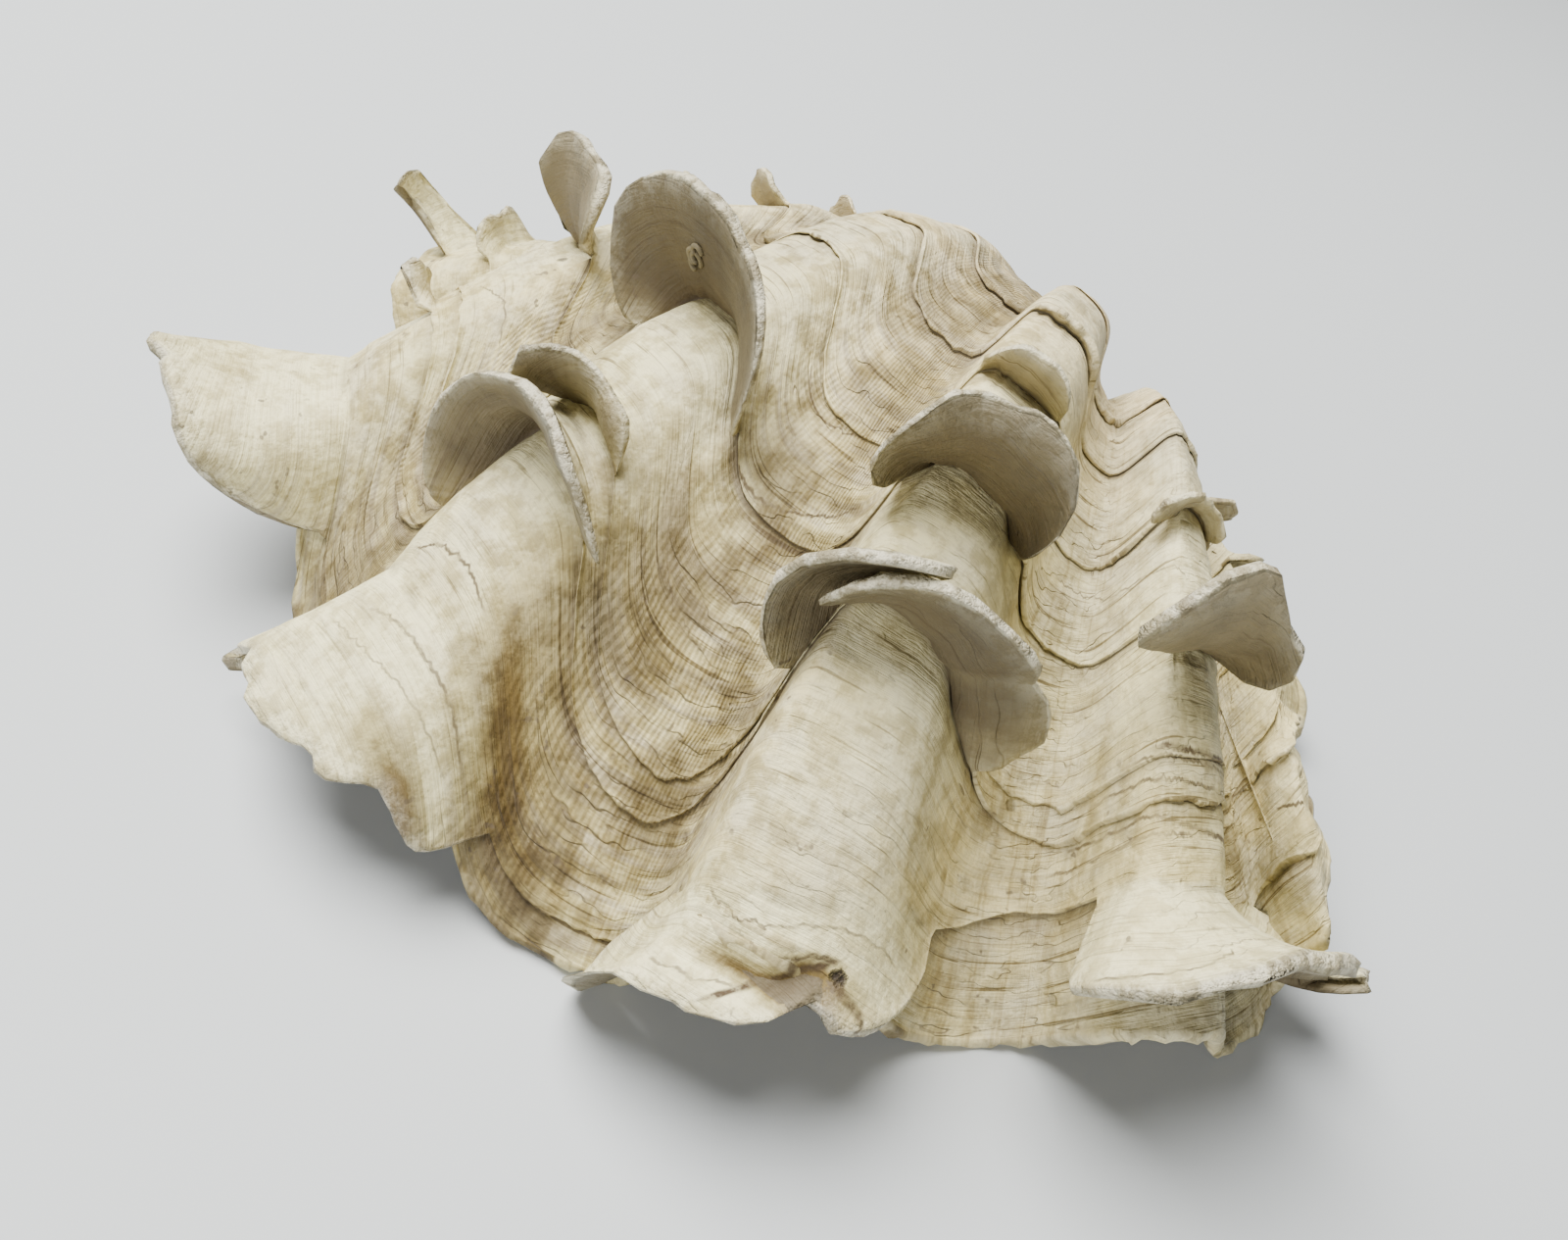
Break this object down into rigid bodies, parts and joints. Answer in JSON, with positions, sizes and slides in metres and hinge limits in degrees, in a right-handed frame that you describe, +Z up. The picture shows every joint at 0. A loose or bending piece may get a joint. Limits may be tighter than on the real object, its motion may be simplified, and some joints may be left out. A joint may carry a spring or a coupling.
{
  "type": "giant clam shell",
  "caption": "Single valve of a fluted giant clam: a ribbed, wavy-edged shell with curled flutes, lying hollow side down.",
  "frame": {"origin": "centre of the valve's bounding box, on the surface that it rests on", "axes": "+X along the hinge, +Y towards the umbo and away from the wavy free margin, +Z up, from the hollow side to the fluted outside"},
  "size_m": [0.2166, 0.1536, 0.0777],
  "materials": {
    "shell": "matte"
  },
  "bodies": {
    "root": {"valve": "shell"}
  },
  "joints": []
}
